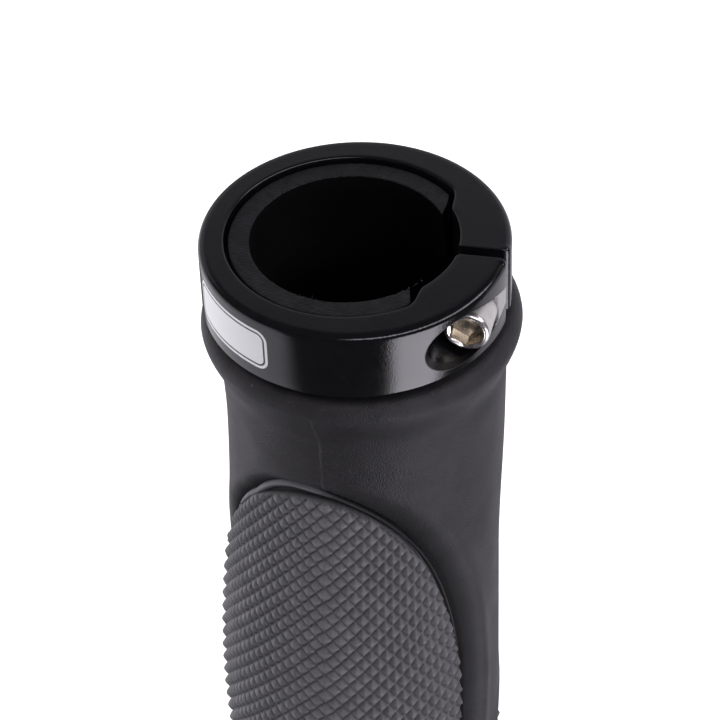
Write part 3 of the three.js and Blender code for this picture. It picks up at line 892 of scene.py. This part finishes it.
def screw_shell():
    """The socket head screw, turned about its own axis with radius r(row, turn) and place y(row). The
    socket's rows go from a circle to a hexagon: a mix of r and flat / cos(turn to the nearest flat's
    middle). The thread's radius is a triangle wave of y over the pitch less the turn."""
    sides = 96
    turn = np.linspace(0, 2 * math.pi, sides, endpoint=False)
    fold = np.remainder(turn, math.pi / 3) - math.pi / 6
    hexagon = SOCKET_FLAT / np.cos(fold)
    face, seat = HEAD_FACE, HEAD_FACE + HEAD_HEIGHT
    # The socket's dished bottom, its six walls out to the round mouth, and the head's face, side and back
    rows = [(0.0, face + 1.95), (0.6, face + 1.85)]
    radius = [np.full(sides, max(r, 0.02)) for r, _ in rows]
    place = [y for _, y in rows]
    for share, depth in ((1.0, 1.7), (1.0, 1.0), (1.0, 0.30), (0.97, 0.22), (0.5, 0.10)):
        radius.append(hexagon * share + 2.02 * (1 - share))
        place.append(face + depth)
    head = [(2.01, face + 0.03), (2.04, face), (2.07, face + 0.005), (2.10, face + 0.03)]
    turned = np.radians([12, 30, 48, 66, 80, 90])
    head += [(2.10 + (HEAD_RADIUS - 2.10) * math.sin(b), face + 0.55 - 0.52 * math.cos(b)) for b in turned]
    head += [(HEAD_RADIUS, face + 1.2), (HEAD_RADIUS, face + 2.6), (HEAD_RADIUS, seat - 0.12)]
    head += [(HEAD_RADIUS - 0.04, seat - 0.04), (HEAD_RADIUS - 0.12, seat), (1.7, seat)]
    head.append((SHANK_RADIUS, seat + 0.1))
    for r, y in head:
        radius.append(np.full(sides, r))
        place.append(y)
    for y in np.arange(seat + 0.4, SCREW_TIP - 0.25, THREAD_PITCH / 8):
        phase = np.remainder(y / THREAD_PITCH - turn / (2 * math.pi), 1)
        depth = 0.27 * (2 * np.abs(phase - 0.5)) * min(1, (y - seat - 0.4) / 0.5)
        radius.append(SHANK_RADIUS - depth)
        place.append(y)
    radius += [np.full(sides, 1.2), np.full(sides, 1.05)]
    place += [SCREW_TIP - 0.08, SCREW_TIP]
    radius, place = np.stack(radius), np.array(place)
    x = SCREW_CENTRE[0] + radius * np.sin(turn)
    z = SCREW_CENTRE[1] - radius * np.cos(turn)
    y = np.broadcast_to(place[:, None], x.shape)
    points = np.stack([x, y, z], axis=-1).reshape(-1, 3)
    ends = np.array([[SCREW_CENTRE[0], end, SCREW_CENTRE[1]] for end in (place[0], SCREW_TIP)])
    faces = [grid_quads(len(place), sides)]
    last = (len(place) - 1) * sides + np.arange(sides)
    caps = [fan(np.arange(sides), len(points))[:, ::-1], fan(last, len(points) + 1)]
    faces.append(np.concatenate(caps))
    return np.concatenate([points, ends]), faces


# Materials


def add_node(tree, kind, inputs=(), **settings):
    """Adds a node, sets its settings, and gives each named input its value or a link from a socket."""
    node = tree.nodes.new(kind)
    for name, value in settings.items():
        setattr(node, name, value)
    for name, value in dict(inputs).items():
        if isinstance(value, bpy.types.NodeSocket):
            tree.links.new(value, node.inputs[name])
        else:
            node.inputs[name].default_value = value
    return node


def ramp(tree, value, low, high, from_value=0.0, to_value=1.0):
    """Maps low..high of a value to from_value..to_value, held at the ends."""
    inputs = {"Value": value, "From Min": low, "From Max": high, "To Min": from_value, "To Max": to_value}
    return add_node(tree, "ShaderNodeMapRange", inputs).outputs["Result"]


def calculate(tree, operation, first, second=0.0):
    return add_node(tree, "ShaderNodeMath", {0: first, 1: second}, operation=operation).outputs[0]


def product(tree, *values):
    total = values[0]
    for value in values[1:]:
        total = calculate(tree, "MULTIPLY", total, value)
    return total


def difference(tree, first, second):
    return calculate(tree, "SUBTRACT", first, second)


def long_side(tree, first, second):
    """The root of the sum of two squares."""
    squares = calculate(tree, "ADD", product(tree, first, first), product(tree, second, second))
    return calculate(tree, "SQRT", squares)


def opaque(value):
    return (value[0], value[1], value[2], 1.0)


def mix(tree, share, first, second):
    """Mixes two colours, each a socket or three numbers."""
    first, second = (c if isinstance(c, bpy.types.NodeSocket) else opaque(c) for c in (first, second))
    return add_node(tree, "ShaderNodeMix", {0: share, 6: first, 7: second}, data_type="RGBA").outputs[2]


def mix_numbers(tree, share, first, second):
    return add_node(tree, "ShaderNodeMix", {0: share, 2: first, 3: second}, data_type="FLOAT").outputs[0]


def noise(tree, place, scale, detail):
    inputs = {"Vector": place, "Scale": scale, "Detail": detail}
    return add_node(tree, "ShaderNodeTexNoise", inputs).outputs["Fac"]


def new_group(name, inputs, outputs):
    """A shader node group with named inputs, each with its default or None, and named outputs."""
    group = bpy.data.node_groups.new(name, "ShaderNodeTree")
    for socket, kind, default in inputs:
        made = group.interface.new_socket(socket, in_out="INPUT", socket_type=kind)
        if default is not None:
            made.default_value = default
    for socket, kind in outputs:
        group.interface.new_socket(socket, in_out="OUTPUT", socket_type=kind)
    return group, group.nodes.new("NodeGroupInput").outputs, group.nodes.new("NodeGroupOutput").inputs


def moulded_grain_group():
    """Two sizes of noise: a height for the bump, and a mask that varies slowly over the surface."""
    inputs = (
        ("Vector", "NodeSocketVector", None),
        ("Scale", "NodeSocketFloat", 3000.0),
        ("Blotch", "NodeSocketFloat", 90.0),
    )
    outputs = (("Height", "NodeSocketFloat"), ("Mask", "NodeSocketFloat"))
    group, given, made = new_group("moulded grain", inputs, outputs)
    blotch = noise(group, given["Vector"], given["Blotch"], 5.0)
    group.links.new(noise(group, given["Vector"], given["Scale"], 3.0), made["Height"])
    group.links.new(ramp(group, blotch, 0.35, 0.65), made["Mask"])
    return group


DUST_COLOUR = (0.45, 0.43, 0.40)


def tone_group():
    """A base colour that drifts between a darker and a lighter share of itself, with light specks of dust."""
    inputs = (
        ("Vector", "NodeSocketVector", None),
        ("Color", "NodeSocketColor", None),
        ("Drift", "NodeSocketFloat", 0.15),
        ("Drift Scale", "NodeSocketFloat", 250.0),
        ("Dust", "NodeSocketFloat", 0.2),
        ("Dust Scale", "NodeSocketFloat", 1500.0),
    )
    group, given, made = new_group("tone", inputs, (("Color", "NodeSocketColor"),))
    drift = noise(group, given["Vector"], given["Drift Scale"], 4.0)
    change = product(group, ramp(group, drift, 0.3, 0.7, -1.0, 1.0), given["Drift"])
    bright = calculate(group, "ADD", change, 1.0)
    scaled = add_node(group, "ShaderNodeVectorMath", {0: given["Color"], "Scale": bright}, operation="SCALE")
    cells = noise(group, given["Vector"], given["Dust Scale"], 1.0)
    speck = product(group, ramp(group, cells, 0.74, 0.80), given["Dust"])
    group.links.new(mix(group, speck, scaled.outputs["Vector"], DUST_COLOUR), made["Color"])
    return group


def use_group(tree, name, make, inputs):
    """The outputs of a group that several materials share. It is made where it is first used."""
    group = bpy.data.node_groups.get(name) or make()
    return add_node(tree, "ShaderNodeGroup", inputs, node_tree=group).outputs


def add_grain(tree, place, scale, blotch):
    """The height and the mask of the moulded grain."""
    inputs = {"Vector": place, "Scale": scale, "Blotch": blotch}
    made = use_group(tree, "moulded grain", moulded_grain_group, inputs)
    return made["Height"], made["Mask"]


def add_tone(tree, place, base, drift, drift_scale, dust, dust_scale):
    """A base colour with its drift and its dust, each as a strength and a scale."""
    inputs = {"Vector": place, "Color": opaque(base), "Drift": drift, "Drift Scale": drift_scale}
    inputs.update({"Dust": dust, "Dust Scale": dust_scale})
    return use_group(tree, "tone", tone_group, inputs)["Color"]


def new_material(name):
    material = bpy.data.materials.new(name)
    material.use_nodes = True
    tree = material.node_tree
    place = tree.nodes.new("ShaderNodeTexCoord").outputs["Object"]
    return material, tree, place, tree.nodes["Principled BSDF"]


def set_finish(tree, shader, shade, rough):
    tree.links.new(shade, shader.inputs["Base Color"])
    tree.links.new(rough, shader.inputs["Roughness"])


def set_bump(tree, shader, height, strength, depth):
    inputs = {"Height": height, "Strength": strength, "Distance": depth}
    bump = add_node(tree, "ShaderNodeBump", inputs)
    tree.links.new(bump.outputs["Normal"], shader.inputs["Normal"])


def body_material(settings):
    """Black rubber with a fine moulded grain. Painted shade makes it darker in a recess and nearly black in
    the bore, by a point attribute that the body gives, and the recess is also duller."""
    material, tree, place, shader = new_material("black grip rubber")
    height, mask = add_grain(tree, place, 5200.0, 160.0)
    tone = add_tone(tree, place, settings.body_colour, 0.22, 420.0, 0.10, 2400.0)
    recess_shade = add_node(tree, "ShaderNodeAttribute", attribute_name="recess_shade").outputs["Fac"]
    # Painted shade: darker by the depth in a recess, and nearly black in the bore
    shade = mix(tree, ramp(tree, recess_shade, 0.0, 0.7, 0.0, 0.85), tone, (0.004, 0.0038, 0.004))
    shade = mix(tree, ramp(tree, recess_shade, 1.4, 1.8), shade, (0.0008, 0.0008, 0.0008))
    rough = ramp(tree, mask, 0.0, 1.0, 0.45, 0.54)
    rough = calculate(tree, "ADD", rough, ramp(tree, recess_shade, 0.0, 1.0, 0.0, 0.45))
    set_finish(tree, shader, shade, rough)
    set_bump(tree, shader, height, 0.90, 0.00013)
    shader.inputs["Specular IOR Level"].default_value = 0.36
    return material


def pad_material(settings):
    """Grey rubber, by the tip attribute: painted shade under the knurl, in its grooves and in the channel
    round it, and paler towards its tips."""
    material, tree, place, shader = new_material("grey knurled rubber")
    height, mask = add_grain(tree, place, 3400.0, 200.0)
    tone = add_tone(tree, place, settings.pad_colour, 0.16, 500.0, 0.08, 2200.0)
    tip = add_node(tree, "ShaderNodeAttribute", attribute_name="tip").outputs["Fac"]
    # Painted shade: darker in the knurl's grooves, and nearly black where tip is below 0, on the wall and in
    # the channel
    groove = mix(tree, ramp(tree, tip, 0.0, 0.5, 0.45, 0.0), tone, (0.030, 0.030, 0.032))
    paler_tips = mix(tree, ramp(tree, tip, 0.72, 1.0, 0.0, 0.35), groove, (0.21, 0.21, 0.215))
    shade = mix(tree, ramp(tree, tip, -1.0, -0.1, 0.92, 0.0), paler_tips, (0.007, 0.007, 0.0075))
    set_finish(tree, shader, shade, ramp(tree, mask, 0.0, 1.0, 0.50, 0.66))
    set_bump(tree, shader, height, 0.5, 0.00010)
    return material


def core_material(settings):
    """Satin black plastic with the coarse grain of a sawn end."""
    material, tree, place, shader = new_material("sawn core plastic")
    height, mask = add_grain(tree, place, 2300.0, 300.0)
    tone = add_tone(tree, place, settings.core_colour, 0.35, 900.0, 0.05, 2600.0)
    set_finish(tree, shader, tone, ramp(tree, mask, 0.0, 1.0, 0.52, 0.68))
    set_bump(tree, shader, height, 0.8, 0.00018)
    shader.inputs["Specular IOR Level"].default_value = 0.36
    return material


def bore_material():
    """The inside of the core, dull and painted nearly black as shade."""
    material, tree, place, shader = new_material("core bore")
    mask = add_grain(tree, place, 900.0, 120.0)[1]
    # Painted shade: far darker than the core's own plastic
    shade = mix(tree, mask, (0.0009, 0.0009, 0.0010), (0.0017, 0.0017, 0.0018))
    set_finish(tree, shader, shade, ramp(tree, mask, 0.0, 1.0, 0.75, 0.9))
    shader.inputs["Specular IOR Level"].default_value = 0.08
    return material


# The printed patch: the turn of its middle in degrees, and in mm the half width and height of its straight
# part, the radius of its corner, the radii between which a bare line runs round it, and the blur of its edges
PATCH_TURN = -131
PATCH_HALF = (5.0, 1.3)
PATCH_CORNER = 1.39
PATCH_LINE = (0.81, 1.05)
EDGE_BLUR = 0.03


def patch_mask(tree, x, y, z):
    """1 on the printed patch: a box with round corners on the unrolled side of the collar, without its
    line."""
    turn = difference(tree, calculate(tree, "ARCTAN2", y, x), math.radians(PATCH_TURN))
    across = product(tree, calculate(tree, "ABSOLUTE", turn), COLLAR_RADIUS)
    up = difference(tree, calculate(tree, "DIVIDE", z, MM), (GRIP_LENGTH + COLLAR_BOTTOM) / 2)
    up = calculate(tree, "ABSOLUTE", up)
    past = [calculate(tree, "MAXIMUM", difference(tree, a, b), 0.0) for a, b in zip((across, up), PATCH_HALF)]
    corner = long_side(tree, *past)

    def inside(radius):
        return ramp(tree, corner, radius - EDGE_BLUR, radius + EDGE_BLUR, 1.0, 0.0)

    line = product(tree, difference(tree, 1.0, inside(PATCH_LINE[0])), inside(PATCH_LINE[1]))
    return product(tree, inside(PATCH_CORNER), difference(tree, 1.0, line))


def bare_mask(tree, place, in_pocket, x, y):
    """1 on the bare metal of the pocket: its seat, and its right side behind a wandering line."""
    wander = product(tree, difference(tree, noise(tree, place, 700.0, 3.0), 0.5), 0.0012)
    deep = ramp(tree, calculate(tree, "ADD", y, wander), -4.7 * MM, -4.5 * MM)
    right = ramp(tree, x, 1.4 * MM, 1.7 * MM)
    seat = ramp(tree, y, (SCREW_SEAT - 0.2) * MM, (SCREW_SEAT - 0.1) * MM)
    return product(tree, in_pocket, calculate(tree, "MAXIMUM", seat, product(tree, deep, right)))


def collar_material(settings):
    """Gloss black on the collar's side, satin on its flat faces, bare metal in the back of the pocket, and
    a plain printed patch on the side. Each place is a mask made from Object coordinates."""
    material, tree, place, shader = new_material("black anodised aluminium")
    x, y, z = add_node(tree, "ShaderNodeSeparateXYZ", {0: place}).outputs
    height, mask = add_grain(tree, place, 5200.0, 220.0)
    tone = add_tone(tree, place, settings.collar_colour, 0.25, 700.0, 0.03, 3000.0)
    on_side = ramp(tree, long_side(tree, x, y), (COLLAR_RADIUS - 0.95) * MM, (COLLAR_RADIUS - 0.78) * MM)

    screw_x = difference(tree, x, POCKET_CENTRE[0] * MM)
    screw_z = difference(tree, z, POCKET_CENTRE[1] * MM)
    from_screw = long_side(tree, screw_x, screw_z)
    in_pocket = ramp(tree, from_screw, (POCKET_RADIUS + 0.04) * MM, (POCKET_RADIUS + 0.12) * MM, 1.0, 0.0)
    in_pocket = product(tree, in_pocket, ramp(tree, y, -1.0 * MM, -1.2 * MM))
    bare = bare_mask(tree, place, in_pocket, screw_x, y)
    patch = product(tree, patch_mask(tree, x, y, z), on_side)

    shade = mix(tree, patch, tone, settings.mark_colour)
    brushed = noise(tree, place, 1800.0, 6.0)
    metal = mix(tree, brushed, [0.8 * c for c in settings.bare_colour], settings.bare_colour)
    side_rough = ramp(tree, mask, 0.0, 1.0, 0.10, 0.16)
    side_rough = calculate(tree, "ADD", side_rough, product(tree, in_pocket, 0.25))
    rough = mix_numbers(tree, on_side, ramp(tree, mask, 0.0, 1.0, 0.16, 0.21), side_rough)
    rough = mix_numbers(tree, calculate(tree, "MAXIMUM", bare, patch), rough, 0.45)
    set_finish(tree, shader, mix(tree, bare, shade, metal), rough)
    tree.links.new(product(tree, bare, 0.7), shader.inputs["Metallic"])
    set_bump(tree, shader, height, 0.24, 0.00006)
    return material


def steel_material(settings):
    """Bright steel, with shade painted darker and warmer in the socket, and duller on the side of the head.
    """
    material, tree, place, shader = new_material("bright screw steel")
    height, mask = add_grain(tree, place, 4200.0, 500.0)
    tone = add_tone(tree, place, settings.steel_colour, 0.08, 900.0, 0.0, 1500.0)
    x, y, z = add_node(tree, "ShaderNodeSeparateXYZ", {0: place}).outputs
    off_x = difference(tree, x, SCREW_CENTRE[0] * MM)
    off_z = difference(tree, z, SCREW_CENTRE[1] * MM)
    inside = ramp(tree, long_side(tree, off_x, off_z), 1.99 * MM, 2.03 * MM, 1.0, 0.0)
    socket = product(tree, inside, ramp(tree, y, (HEAD_FACE + 0.08) * MM, (HEAD_FACE + 0.25) * MM))
    behind_face = ramp(tree, y, (HEAD_FACE + 0.60) * MM, (HEAD_FACE + 0.70) * MM)
    side = product(tree, behind_face, difference(tree, 1.0, inside))
    rough = ramp(tree, mask, 0.0, 1.0, 0.24, 0.32)
    rough = calculate(tree, "ADD", rough, product(tree, side, 0.22))
    # Painted shade: the socket's colour is darker and warmer than the steel
    set_finish(tree, shader, mix(tree, socket, tone, (0.50, 0.45, 0.38)), rough)
    set_bump(tree, shader, height, 0.12, 0.00003)
    shader.inputs["Metallic"].default_value = 1.0
    return material


# Operators


class GRIP_OT_body(bpy.types.Operator):
    """Builds the rubber body with its flange and the recesses of both pads"""

    bl_idname = "grip.body"
    bl_label = "Rubber body"

    def execute(self, context):
        settings = context.scene.grip
        pads = [Pad(pad) for pad in (context.scene.grip_palm_pad, context.scene.grip_finger_pad)]
        points, faces, recess_shade = body_shell(settings, pads)
        mesh = make_mesh("body_skin", points, facing_out(points, faces), crease=50)
        add_attribute(mesh, "recess_shade", recess_shade)
        make_piece("body_skin", mesh, "body_rubber", "rubber_body", body_material(settings))
        return {"FINISHED"}


class GRIP_OT_pads(bpy.types.Operator):
    """Builds the two knurled pads with their smooth borders"""

    bl_idname = "grip.pads"
    bl_label = "Knurled pads"

    def execute(self, context):
        settings = context.scene.grip
        material = pad_material(settings)
        for values, name, node in (
            (context.scene.grip_palm_pad, "palm_pad_skin", "palm_pad"),
            (context.scene.grip_finger_pad, "finger_pad_skin", "finger_pad"),
        ):
            pad = Pad(values)
            knurl_points, knurl_faces, tips = knurled_shell(pad, settings)
            border_points, border_faces, border_tips = border_shell(pad)
            points, faces = joined([(knurl_points, knurl_faces), (border_points, border_faces)])
            mesh = make_mesh(name, points, faces, crease=60)
            add_attribute(mesh, "tip", np.concatenate([tips, border_tips]))
            make_piece(name, mesh, "pad_rubber", node, material)
        return {"FINISHED"}


class GRIP_OT_core(bpy.types.Operator):
    """Builds the plastic core with its sawn end"""

    bl_idname = "grip.core"
    bl_label = "Plastic core"

    def execute(self, context):
        settings = context.scene.grip
        points, faces = joined(core_shells(settings))
        mesh = make_mesh("core_tube", points, faces, crease=40)
        materials = core_material(settings), bore_material()
        make_piece("core_tube", mesh, "core_plastic", "core_sleeve", *materials)
        centres = np.empty(3 * len(mesh.polygons), np.float32)
        normals = np.empty(3 * len(mesh.polygons), np.float32)
        mesh.polygons.foreach_get("center", centres)
        mesh.polygons.foreach_get("normal", normals)
        centres, normals = centres.reshape(-1, 3), normals.reshape(-1, 3)
        from_axis = np.hypot(centres[:, 0], centres[:, 1])
        inward = (centres[:, :2] * normals[:, :2]).sum(axis=1) < -0.5 * from_axis
        low = centres[:, 2] < (CORE_TOP - 0.10) * MM
        # The faces inside the bore take the second material, which paints shade there
        in_bore = (from_axis < (CORE_RADIUS - 1.0) * MM) & inward & low
        mesh.polygons.foreach_set("material_index", in_bore.astype(np.int32))
        return {"FINISHED"}


class GRIP_OT_collar(bpy.types.Operator):
    """Builds the split clamp collar with its screw pocket"""

    bl_idname = "grip.collar"
    bl_label = "Clamp collar"

    def execute(self, context):
        settings = context.scene.grip
        points, faces = joined([collar_shell(settings)])
        ring = make_mesh("collar_ring", points, faces)
        pocket = bar_along_y(POCKET_CENTRE, POCKET_RADIUS, -30, SCREW_SEAT, 128)
        hole = bar_along_y(SCREW_CENTRE, HOLE_RADIUS, SCREW_SEAT - 1, 30, 96)
        mesh = cut_away(ring, [pocket, hole], "collar_ring")
        mesh.shade_smooth()
        mesh.set_sharp_from_angle(angle=math.radians(28))
        make_piece("collar_ring", mesh, "anodised_aluminium", "clamp_collar", collar_material(settings))
        return {"FINISHED"}


class GRIP_OT_screw(bpy.types.Operator):
    """Builds the socket head screw"""

    bl_idname = "grip.screw"
    bl_label = "Clamp screw"

    def execute(self, context):
        settings = context.scene.grip
        points, faces = screw_shell()
        mesh = make_mesh("socket_screw", points, facing_out(points, faces), crease=32)
        make_piece("socket_screw", mesh, "bright_steel", "clamp_screw", steel_material(settings))
        return {"FINISHED"}


def add_softbox(name, centre, power):
    """A soft square light that faces LIGHT_TARGET. It lights the surfaces, and the studio's panels make the
    gloss."""
    data = bpy.data.lights.new(name, "AREA")
    data.shape = "SQUARE"
    data.size = SOFTBOX_SIDE
    data.energy = power
    lamp = bpy.data.objects.new(name, data)
    bpy.context.scene.collection.objects.link(lamp)
    lamp.location = centre
    lamp.rotation_euler = (Vector(LIGHT_TARGET) - Vector(centre)).to_track_quat("-Z", "Y").to_euler()
    lamp.visible_glossy = False


SOFTBOX_SIDE = 0.9
LIGHT_TARGET = (0, 0, 0.1)


# Each soft panel of the studio, in degrees around the grip and over the horizon: the turn of its middle, its
# half width, its lower and upper end, how soft its border is, and its brightness. ROOM is the dim rest
PANELS = (
    (180, 51, -56, 0, 5, 1.0),
    (-32, 19, -56, -20, 3, 4.9),
    (59, 37, -72, 2, 5, 0.66),
    (105, 60, 2, 38, 2, 0.40),
    (-25, 56, 26, 38, 4, 5.8),
)
ROOM = 0.075


def studio_world():
    """A dim room with the soft PANELS around the grip. The camera itself sees an even pale wall."""
    world = bpy.data.worlds.new("studio")
    world.use_nodes = True
    tree = world.node_tree
    ray = tree.nodes.new("ShaderNodeTexCoord").outputs["Generated"]
    x, y, z = add_node(tree, "ShaderNodeSeparateXYZ", {0: ray}).outputs
    turn = calculate(tree, "ARCTAN2", y, x)
    lift = calculate(tree, "ARCSINE", z)
    total = ROOM
    for middle, half, low, high, soft, bright in PANELS:
        off = calculate(tree, "COSINE", difference(tree, turn, math.radians(middle)))
        off = calculate(tree, "ARCCOSINE", off)
        mask = ramp(tree, off, math.radians(half - soft), math.radians(half + soft), 1.0, 0.0)
        over = ramp(tree, lift, math.radians(low - soft), math.radians(low + soft))
        under = ramp(tree, lift, math.radians(high - soft), math.radians(high + soft), 1.0, 0.0)
        total = calculate(tree, "ADD", total, product(tree, mask, over, under, bright))
    by_camera = tree.nodes.new("ShaderNodeLightPath").outputs["Is Camera Ray"]
    strength = mix_numbers(tree, by_camera, total, 0.95)
    background = tree.nodes["Background"]
    tree.links.new(mix(tree, by_camera, (1.0, 0.97, 1.06), (1.0, 1.0, 1.0)), background.inputs["Color"])
    tree.links.new(strength, background.inputs["Strength"])
    return world


# The photograph's camera: degrees, metres from the middle of the collar's top face, and pixels
CAMERA_AZIMUTH = 15.0
CAMERA_ELEVATION = 39.05
CAMERA_ROLL = 2.4
CAMERA_DISTANCE = 0.313
CAMERA_FOCAL = 2844.0
PICTURE_SIDE = 720.0
TARGET_PIXEL = (354.6, 234.6)
SENSOR_WIDTH = 36.0


def place_camera():
    """Stands the camera where the photograph was taken from, and turns it until the middle of the collar's
    top face falls on its pixel of the picture."""
    azimuth, elevation = math.radians(CAMERA_AZIMUTH), math.radians(CAMERA_ELEVATION)
    right = Vector((math.cos(azimuth), math.sin(azimuth), 0))
    level = Vector((math.sin(azimuth), -math.cos(azimuth), 0)) * math.cos(elevation)
    back = level + Vector((0, 0, math.sin(elevation)))
    up = back.cross(right)
    roll = math.radians(CAMERA_ROLL)
    side = right * math.cos(roll) - up * math.sin(roll)
    top = right * math.sin(roll) + up * math.cos(roll)
    turned = Matrix((side, top, back)).transposed()
    middle = PICTURE_SIDE / 2
    pixel = Vector((TARGET_PIXEL[0] - middle, middle - TARGET_PIXEL[1], -CAMERA_FOCAL)).normalized()
    aim = pixel.rotation_difference(Vector((0, 0, -1))).to_matrix()
    camera = bpy.data.objects.new("camera", bpy.data.cameras.new("camera"))
    bpy.context.scene.collection.objects.link(camera)
    camera.data.sensor_width = SENSOR_WIDTH
    camera.data.lens = CAMERA_FOCAL / PICTURE_SIDE * SENSOR_WIDTH
    camera.data.clip_start = 0.01
    stand = Vector((0, 0, GRIP_LENGTH * MM)) + back * CAMERA_DISTANCE
    camera.matrix_world = Matrix.Translation(stand) @ (turned @ aim).to_4x4()
    bpy.context.scene.camera = camera


FLOOR_HALF = 1500.0


class GRIP_OT_stage(bpy.types.Operator):
    """Lays the floor and sets up the soft studio light and the camera"""

    bl_idname = "grip.stage"
    bl_label = "Stage"

    def execute(self, context):
        scene = context.scene
        scene.view_settings.view_transform = "Standard"
        corners = np.array([[-1, -1, 0], [1, -1, 0], [1, 1, 0], [-1, 1, 0]]) * FLOOR_HALF - [0, 0, 0.02]
        mesh = make_mesh("floor", corners, [np.array([[0, 1, 2, 3]])])
        floor = bpy.data.objects.new("floor", mesh)
        scene.collection.objects.link(floor)
        material, _, _, shader = new_material("pale floor")
        shader.inputs["Base Color"].default_value = opaque(scene.grip.floor_colour)
        shader.inputs["Roughness"].default_value = 0.7
        shader.inputs["Emission Color"].default_value = (1, 1, 1, 1)
        shader.inputs["Emission Strength"].default_value = 0.5
        mesh.materials.append(material)
        for ray in ("diffuse", "glossy", "transmission", "shadow"):
            setattr(floor, "visible_" + ray, False)

        scene.world = studio_world()
        for name, centre, power in (
            ("overhead softbox", (0.10, -0.12, 0.95), 3.5),
            ("left softbox", (-0.85, 0.05, 0.35), 9.0),
        ):
            add_softbox(name, centre, power)
        place_camera()
        return {"FINISHED"}


class GRIP_PT_panel(bpy.types.Panel):
    """Lists the grip's pieces in the sidebar."""

    bl_idname = "GRIP_PT_panel"
    bl_label = "Handlebar grip"
    bl_space_type = "VIEW_3D"
    bl_region_type = "UI"
    bl_category = "Grip"

    def draw(self, context):
        for operator in OPERATORS:
            self.layout.operator(operator.bl_idname)


OPERATORS = (GRIP_OT_body, GRIP_OT_pads, GRIP_OT_core, GRIP_OT_collar, GRIP_OT_screw, GRIP_OT_stage)
CLASSES = (PalmPadSettings, FingerPadSettings, GripSettings, *OPERATORS, GRIP_PT_panel)


def register():
    for made in CLASSES:
        bpy.utils.register_class(made)
    bpy.types.Scene.grip = bpy.props.PointerProperty(type=GripSettings)
    bpy.types.Scene.grip_palm_pad = bpy.props.PointerProperty(type=PalmPadSettings)
    bpy.types.Scene.grip_finger_pad = bpy.props.PointerProperty(type=FingerPadSettings)


def unregister():
    del bpy.types.Scene.grip_finger_pad
    del bpy.types.Scene.grip_palm_pad
    del bpy.types.Scene.grip
    for made in reversed(CLASSES):
        bpy.utils.unregister_class(made)


def main():
    register()
    bpy.ops.grip.body()
    bpy.ops.grip.pads()
    bpy.ops.grip.core()
    bpy.ops.grip.collar()
    bpy.ops.grip.screw()
    bpy.ops.grip.stage()


if __name__ == "__main__":
    main()
